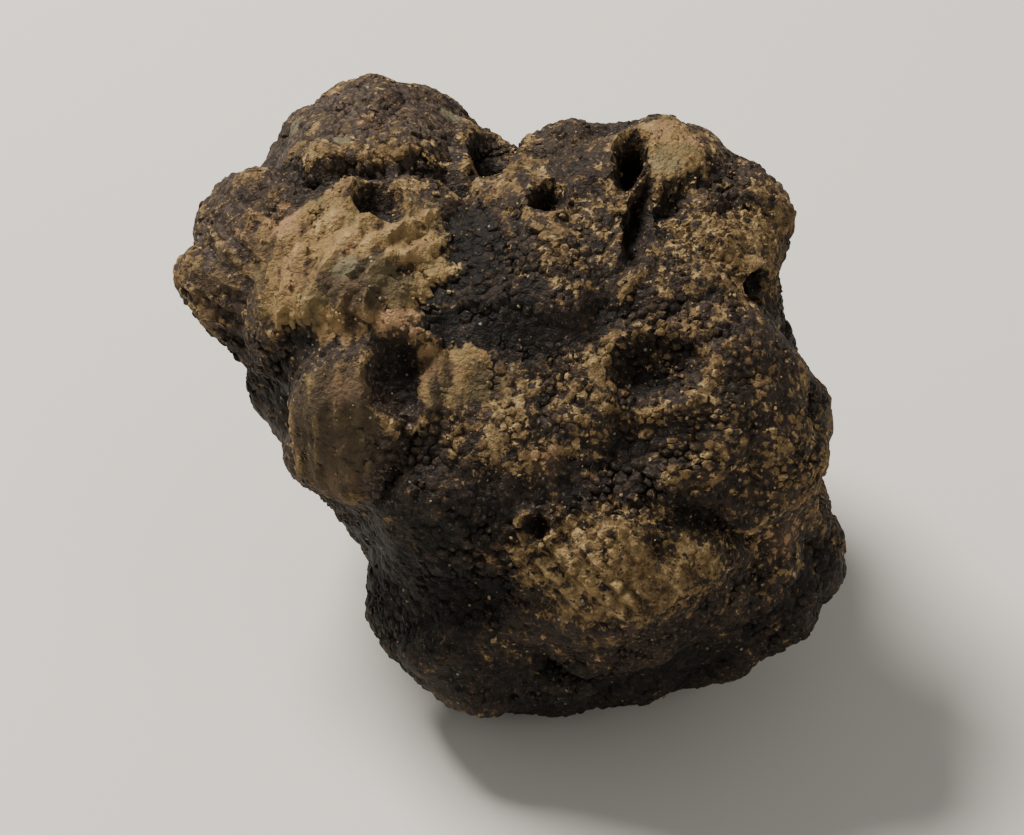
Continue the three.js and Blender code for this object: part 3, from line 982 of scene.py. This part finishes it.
def stains_and_glints(tree, colour, on, flecks, coat):
    """Red stains, mostly in earth and clay, and grey-green stains and painted glints, broken up by the
    flecks.
    """
    reddened = step_up(tree, weigh(tree, (on["reddish"], 1.0), (flecks, 0.8)), *STAIN_RED_FROM)
    red = do_math(tree, "MULTIPLY", reddened, weigh(tree, (coat, 0.6), (0.1, 1.0)))
    colour = blend_colours(tree, red, colour, STAIN_RED)
    greened = weigh(tree, (on["green_stain_and_glint"], 1.0), (flecks, 0.8))
    green = stronger(tree, greened, GREEN_STAIN_AND_GLINT_FROM, GREEN_STAIN_AND_GLINT_SHARE)
    return blend_colours(tree, green, colour, GREEN_STAIN_AND_GLINT)


def gritty(tree, place, colour):
    """Grit, the middles of a few cells picked by chance: the colour with it, and its share."""
    cells = add_node(tree, "ShaderNodeTexVoronoi", {"Vector": place, "Scale": 1 / (GRIT_APART * MM)})
    red = add_node(tree, "ShaderNodeSeparateColor", {"Color": cells.outputs["Color"]}).outputs[0]
    near = step_up(tree, cells.outputs["Distance"], *GRIT_FROM)
    grit = do_math(tree, "MULTIPLY", near, do_math(tree, "GREATER_THAN", red, 1 - GRIT_CHANCE))
    return blend_colours(tree, do_math(tree, "MULTIPLY", grit, GRIT_SHARE), colour, GRIT_PALE), grit


def skin_finish(grain, earth, mark_names):
    """Near-black warty skin, brown where it is worn, with dry earth on the warts' tops or between
    them, smooth clay that fills the valleys on some lobes, and a few pale grains of grit. Hollows,
    pits, cracks and the low parts are kept darker as painted shade, and the bare warts' tops are
    greyer, partly from wear and partly as a painted highlight."""
    material, tree, surface = new_material("truffle skin")
    place = tree.nodes.new("ShaderNodeTexCoord").outputs["Object"]
    on = {name: mark(tree, name) for name in mark_names}
    fine = place_group(tree, grain, Coarse_mm=0.5)
    cloud = {**skin_mottles(tree, place), "fine": fine["Value"]}

    colour = bare_skin(tree, on, cloud)
    colour, dust, crumbs = dry_earth(tree, colour, on, cloud, earth)
    colour, clay = clay_coat(tree, colour, on, cloud)
    coat = do_math(tree, "MAXIMUM", dust, clay)
    colour = stains_and_glints(tree, colour, on, cloud["flecks"], coat)
    colour, grit = gritty(tree, place, colour)

    crumbly = do_math(tree, "MULTIPLY", crumbs, coat)
    height = weigh(tree, (fine["Height"], 1.1), (cloud["speckle"], 0.9), (coat, 0.3), (crumbly, 0.6))
    bump = add_node(tree, "ShaderNodeBump", {"Height": height, "Strength": 1.0, "Distance": SKIN_BUMP_M})
    roughness = weigh(tree, (coat, 0.32), (cloud["fine"], 0.2), (grit, -0.3), (0.5, 1.0))
    tree.links.new(colour, surface.inputs["Base Color"])
    tree.links.new(bump.outputs["Normal"], surface.inputs["Normal"])
    tree.links.new(roughness, surface.inputs["Roughness"])
    surface.inputs["Specular IOR Level"].default_value = 0.16
    return material


def crumb_finish(grain, earth):
    """Loose dry earth, darker or paler from crumb to crumb."""
    material, tree, surface = new_material("earth crumbs")
    fine = place_group(tree, grain, Coarse_mm=0.2)
    soil = place_group(tree, earth, Tone=mark(tree, "tone"), Grain=fine["Value"])
    height = {"Height": fine["Height"], "Strength": 0.6, "Distance": CRUMB_BUMP_M}
    bump = add_node(tree, "ShaderNodeBump", height)
    tree.links.new(soil["Color"], surface.inputs["Base Color"])
    tree.links.new(bump.outputs["Normal"], surface.inputs["Normal"])
    tree.links.new(weigh(tree, (fine["Value"], 0.2), (0.8, 1.0)), surface.inputs["Roughness"])
    surface.inputs["Specular IOR Level"].default_value = 0.3
    return material


# ---- The part ----

skin, skin_points, skin_marks = fine_skin()
crumbs = earth_crumbs(skin_points, skin_marks)
grain, earth = grain_group(), earth_group()
skin.data.materials.append(skin_finish(grain, earth, skin_marks))
crumbs.data.materials.append(crumb_finish(grain, earth))
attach(skin, "root")
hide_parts("truffle")
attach(crumbs, "root")


# ---- Floor, light and camera ----

FLOOR_HALF_M = 2.0
FLOOR_COLOUR = (0.62, 0.60, 0.56)
CAMERA_ELEVATION = math.radians(42)
CAMERA_DISTANCE_M = 0.55
CAMERA_AIM_M = (0.0, -0.0025, 0.0275)
LENS_MM = 196
SENSOR_MM = 36
LIGHT_COLOUR = (1, 0.955, 0.88)
KEY_LIGHT = ((-0.30, 0.26, 0.62), 0.26, 11.0)      # place and size in metres, watts
FILL_LIGHT = ((0.55, -0.45, 0.35), 0.6, 1.4)
SKY_COLOUR = (1, 0.99, 0.97)
SKY_STRENGTH = 0.31


def floor():
    """A plain pale floor at the truffle's foot."""
    corners = FLOOR_HALF_M * np.array([(-1, -1, 0), (1, -1, 0), (1, 1, 0), (-1, 1, 0)], float)
    plane = make_piece("floor", corners / MM, [np.array([[0, 1, 2, 3]])], {})
    material, _, surface = new_material("pale floor")
    surface.inputs["Base Color"].default_value = (*FLOOR_COLOUR, 1)
    surface.inputs["Roughness"].default_value = 0.8
    plane.data.materials.append(material)


def aim(thing, place, target):
    """Puts a light or camera at a place, with its -Z towards the target and its Y up."""
    away = unit(np.array(place) - np.array(target))
    across = unit(np.cross([0, 0, 1], away))
    up = np.cross(away, across)
    rows = np.eye(4)
    rows[:3, :3] = np.stack([across, up, away], -1)
    rows[:3, 3] = place
    thing.matrix_world = Matrix(rows.tolist())
    bpy.context.scene.collection.objects.link(thing)


def soft_light(name, place, size_m, watts):
    """A round light turned to the truffle."""
    light = bpy.data.lights.new(name, "AREA")
    light.color = LIGHT_COLOUR
    light.shape = "DISK"
    light.size = size_m
    light.energy = watts
    aim(bpy.data.objects.new(name, light), place, CAMERA_AIM_M)


def studio():
    """A pale sky, a key light and a faint fill."""
    world = bpy.data.worlds.new("studio")
    world.use_nodes = True
    sky = world.node_tree.nodes["Background"]
    sky.inputs["Color"].default_value = (*SKY_COLOUR, 1)
    sky.inputs["Strength"].default_value = SKY_STRENGTH
    bpy.context.scene.world = world
    soft_light("key", *KEY_LIGHT)
    soft_light("fill", *FILL_LIGHT)


def front_camera():
    """A camera before the truffle, looking down on it."""
    data = bpy.data.cameras.new("camera")
    data.lens = LENS_MM
    data.sensor_width = SENSOR_MM
    camera = bpy.data.objects.new("camera", data)
    back = np.array([0, -math.cos(CAMERA_ELEVATION), math.sin(CAMERA_ELEVATION)])
    aim(camera, np.array(CAMERA_AIM_M) + CAMERA_DISTANCE_M * back, CAMERA_AIM_M)
    bpy.context.scene.camera = camera


floor()
studio()
front_camera()
